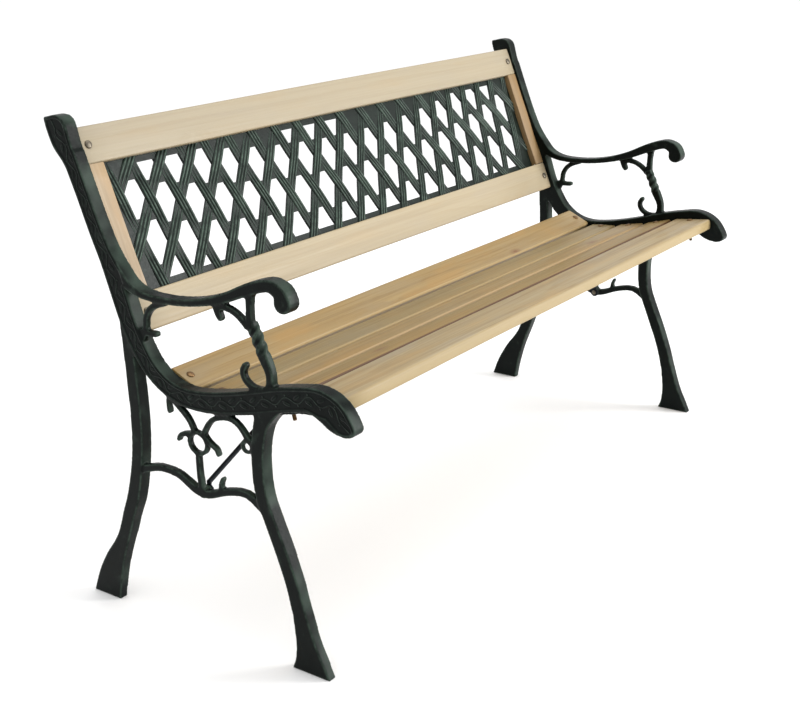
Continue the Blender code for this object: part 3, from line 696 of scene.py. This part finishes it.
def revolved(builder, profile, radius_at=None):
    """Adds a surface turned about local Z from (radius, height) points, and gives back its rings."""
    rings = []
    for index, (radius, height) in enumerate(profile):
        ring = []
        for step in range(FACETS):
            angle = math.tau * step / FACETS
            reach = radius_at(index, angle, radius) if radius_at else radius
            ring.append(builder.verts.new((reach * math.cos(angle), reach * math.sin(angle), height)))
        rings.append(ring)
    for low, high in zip(rings, rings[1:]):
        for step in range(FACETS):
            after = (step + 1) % FACETS
            builder.faces.new((low[step], low[after], high[after], high[step]))
    return rings


def domed_head(radius, height, steps=7):
    """Profile of a round head from its rim to the middle of its top."""
    spots = []
    for step in range(steps):
        angle = math.pi / 2 * step / steps
        spots.append((radius * math.cos(angle), height * (0.25 + 0.75 * math.sin(angle))))
    return spots + [(radius * 0.02, height)]


def fastener(node, plain_length, finish):
    """A bolt or a screw: domed head, plain shank and a thread towards its tip."""
    place, radius, depth, head_height = turned_place(node)
    points = coordinates(local_mesh(node))
    shank = shank_radius(place, points)
    profile = [(shank * 0.1, -depth), (shank * 0.75, -depth), (shank - THREAD_DEPTH, -depth + 0.0006)]
    height = -depth + 0.0008
    while height < -plain_length:
        profile += [(shank - THREAD_DEPTH, height), (shank, height + THREAD_PITCH / 2)]
        height += THREAD_PITCH
    profile += [(shank, height), (shank, 0), (radius, 0)] + domed_head(radius, head_height)
    builder = bmesh.new()
    rings = revolved(builder, profile)
    builder.faces.new(rings[0])
    builder.faces.new(rings[-1])
    mesh = mesh_from(builder, node, 35)
    add_piece(f"{node}_turned", mesh, place, [node], finish)


def shank_radius(place, points):
    """The radius of a turned node below its head."""
    local = np.array([place.inverted() @ Vector(point) for point in points])
    below = local[:, 2] < -0.001
    return np.hypot(local[below, 0], local[below, 1]).max()


def hex_nut(node, finish):
    """A hexagonal nut with chamfered corners and a bore."""
    points = coordinates(local_mesh(node))
    middle = (points.min(0) + points.max(0)) / 2
    axis = turned_place(node.replace("nut", "bolt"))[0].to_3x3().col[2]
    side = Vector((1, 0, 0))
    place = Matrix((side, axis.cross(side), axis)).transposed().to_4x4()
    place.translation = Vector(middle)
    local = np.array([place.inverted() @ Vector(point) for point in points])
    reach = np.hypot(local[:, 0], local[:, 1])
    corner, bore, half = reach.max(), reach.min(), local[:, 2].max()
    flat = corner * math.cos(math.pi / 6)
    profile = [(bore, -half), (flat * 0.96, -half), (corner, -half * 0.72), (corner, half * 0.72),
               (flat * 0.96, half), (bore, half), (bore, 0), (bore, -half)]

    def hexagonal(index, angle, radius):
        to_flat = angle % (math.pi / 3) - math.pi / 6
        return min(radius, flat / math.cos(to_flat)) if index in (2, 3) else radius

    builder = bmesh.new()
    revolved(builder, profile, hexagonal)
    bmesh.ops.remove_doubles(builder, verts=builder.verts, dist=1e-6)
    add_piece(f"{node}_hex", mesh_from(builder, node, 30), place, [node], finish)


# Build --------------------------------------------------------------------------------------

end_iron = iron("patinated_iron", (0.0028, 0.0048, 0.0040), (0.040, 0.060, 0.046), 0.08)
lattice(iron("satin_iron", (0.008, 0.015, 0.011), (0.072, 0.110, 0.084), 0.15))
brace_paint = iron("brace_paint", (0.008, 0.010, 0.013), (0.028, 0.032, 0.038), 0.12, 0.5)
plated = zinc("dulled_zinc", (0.15, 0.13, 0.10))
browned = zinc("browned_zinc", (0.24, 0.145, 0.070))
for label in ("left", "right"):
    brace = soft_copy(f"{label}_brace_rod", f"{label}_brace", BRACE_VOXEL, BRACE_ROUNDING_PASSES)
    store_wear(brace)
    add_piece(f"{label}_brace", brace, replaced=[f"{label}_brace_rod"],
              finish=brace_paint)
for node in sorted(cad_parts):
    if "_bolt_" in node:
        fastener(node, BOLT_PLAIN_SHANK, browned if node.startswith("seat") else plated)
    elif "_screw_" in node:
        fastener(node, SCREW_PLAIN_SHANK, plated)
    elif "_nut_" in node:
        hex_nut(node, plated)
for label, side in (("left", -1), ("right", 1)):
    end_casting(label, side, end_iron)

SEAT_TONES = [     # from the back of the seat to the front
    (0.325, 0.226, 0.092), (0.275, 0.205, 0.092), (0.312, 0.218, 0.088), (0.282, 0.192, 0.062),
    (0.358, 0.278, 0.153)]
PAINTED_EDGE_TONES = [     # painted tone of each front edge (painted highlights on the first three slats, painted shade on the fourth), and how much of it is left under the painted shade of the gap lower down
    ((0.520, 0.370, 0.170), 0.45), ((0.400, 0.285, 0.125), 0.45), ((0.420, 0.285, 0.135), 0.35),
    ((0.110, 0.045, 0.011), 0.50), ((0.305, 0.225, 0.101), 1.0)]
SLAT_KNOTS = {     # places on the slats' tops as (x, y) from the middle
    1: [(0.100, -0.012)], 3: [(0.210, 0.004)], 4: [(-0.170, -0.008)]}
for number, (tone, (painted_edge_tone, edge_shade)) in enumerate(zip(SEAT_TONES, PAINTED_EDGE_TONES), 1):
    knots = SLAT_KNOTS.get(number, ())
    pine = timber(f"seat_pine_{number}", tone, number, SEAT_CONTRAST, painted_edge_tone, edge_shade, knots)
    board(f"seat_slat_{number}", SLAT_EDGE_RADIUS, pine, number)

BACK_TONES = {     # tone and contrast of the grain
    "top_back_rail": ((0.322, 0.270, 0.181), 0.35),
    "bottom_back_rail": ((0.380, 0.313, 0.200), 0.4),
    "left_panel_upright": ((0.366, 0.279, 0.178), 0.9),
    "right_panel_upright": ((0.252, 0.166, 0.076), 0.9)}
for seed, (node, (tone, contrast)) in enumerate(BACK_TONES.items(), 11):
    upright = node.endswith("upright")
    pine = timber(f"{node}_pine", tone, seed, contrast)
    radius, stations = (UPRIGHT_EDGE_RADIUS, 16) if upright else (RAIL_EDGE_RADIUS, 40)
    board(node, radius, pine, seed, upright, stations)

# Stage --------------------------------------------------------------------------------------

floor_mesh = bpy.data.meshes.new("floor")
floor_corners = [(x * FLOOR_REACH, y * FLOOR_REACH, FLOOR_LEVEL)
                 for x, y in ((-1, -1), (1, -1), (1, 1), (-1, 1))]
floor_mesh.from_pydata(floor_corners, [], [(0, 1, 2, 3)])
floor = bpy.data.objects.new("floor", floor_mesh)
bpy.context.scene.collection.objects.link(floor)
paper = Shading("paper")
paper.set(Base_Color=(0.97, 0.97, 0.97, 1), Roughness=1.0)
floor_mesh.materials.append(paper.material)

world = bpy.data.worlds.new("studio")
world.use_nodes = True
world.node_tree.nodes["Background"].inputs["Color"].default_value = (1, 1, 1, 1)
world.node_tree.nodes["Background"].inputs["Strength"].default_value = 1.05
bpy.context.scene.world = world


def area_light(name, place, target, size, power):
    """A rectangular lamp, aimed at a point."""
    light = bpy.data.lights.new(name, "AREA")
    light.shape = "RECTANGLE"
    light.size, light.size_y = size
    light.energy = power
    made = bpy.data.objects.new(name, light)
    made.location = place
    made.rotation_euler = (Vector(target) - Vector(place)).to_track_quat("-Z", "Y").to_euler()
    bpy.context.scene.collection.objects.link(made)


area_light("front", (2.1, -3.05, 1.3), (-0.3, 0, 0.9), (1.3, 2.6), 127)
area_light("top", (0.3, -0.6, 3.6), (0, 0, 0.4), (2.5, 2.5), 40)

camera = bpy.data.objects.new("camera", bpy.data.cameras.new("camera"))
camera.data.lens = CAMERA_LENS
camera.data.sensor_width = CAMERA_SENSOR
back = -CAMERA_FORWARD.normalized()
right = (CAMERA_RIGHT - back * CAMERA_RIGHT.dot(back)).normalized()
turn = Matrix((right, back.cross(right), back)).transposed().to_4x4()
camera.matrix_world = Matrix.Translation(CAMERA_PLACE) @ turn
bpy.context.scene.collection.objects.link(camera)
bpy.context.scene.camera = camera
bpy.context.scene.view_settings.view_transform = "Standard"
